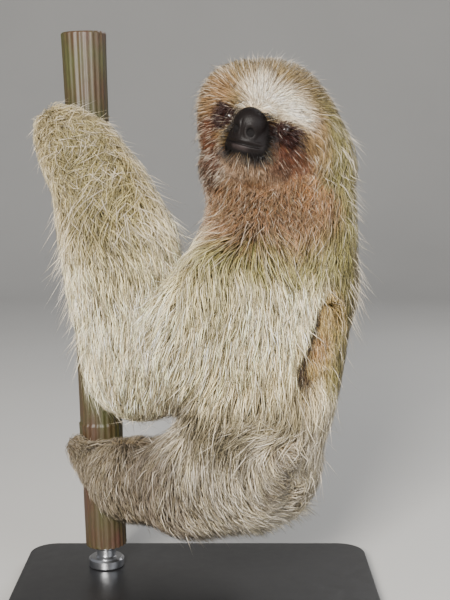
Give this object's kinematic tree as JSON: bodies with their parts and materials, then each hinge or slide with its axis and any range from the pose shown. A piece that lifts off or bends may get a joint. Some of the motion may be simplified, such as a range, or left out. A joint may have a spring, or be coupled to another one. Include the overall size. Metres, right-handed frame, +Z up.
{
  "type": "three-toed sloth display model",
  "caption": "Still, life-size three-toed sloth clinging to a short cut length of upright stem, on a flat display stand.",
  "frame": {"origin": "middle of the stand base's underside, on the floor", "axes": "+Z up along the perch; +X to the right of the main view, away from the perch; +Y to the back, away from the main view"},
  "size_m": [0.33, 0.3, 0.5126],
  "materials": {
    "body_coat": "long coarse shaggy hair, cream with a green algae tint",
    "face_coat": "short soft hair, pale brow and red-brown eye stripes, with a bare dark snout",
    "throat_coat": "fuzzy brown throat hair",
    "leg_coat": "taupe-grey hair, shorter than on the arms",
    "eye": "glossy dark brown",
    "claw": "worn horn, satin",
    "stem": "green stem in red-brown fibrous leaf sheaths",
    "base": "satin black lacquer",
    "rod": "brushed"
  },
  "bodies": {
    "root": {"head": "face_coat", "neck": "throat_coat", "trunk": "body_coat", "tail": "leg_coat", "upper_arm_left": "body_coat", "forearm_left": "body_coat", "hand_left": "body_coat", "upper_arm_right": "body_coat", "forearm_right": "body_coat", "hand_right": "body_coat", "thigh_left": "leg_coat", "shank_left": "leg_coat", "foot_left": "leg_coat", "thigh_right": "leg_coat", "shank_right": "leg_coat", "foot_right": "leg_coat", "eye_left": "eye", "eye_right": "eye", "claw_left_hand_1": "claw", "claw_left_hand_2": "claw", "claw_left_hand_3": "claw", "claw_right_hand_1": "claw", "claw_right_hand_2": "claw", "claw_right_hand_3": "claw", "claw_left_foot_1": "claw", "claw_left_foot_2": "claw", "claw_left_foot_3": "claw", "claw_right_foot_1": "claw", "claw_right_foot_2": "claw", "claw_right_foot_3": "claw", "perch": "stem", "stand_base": "base", "stand_rod": "rod"}
  },
  "joints": []
}
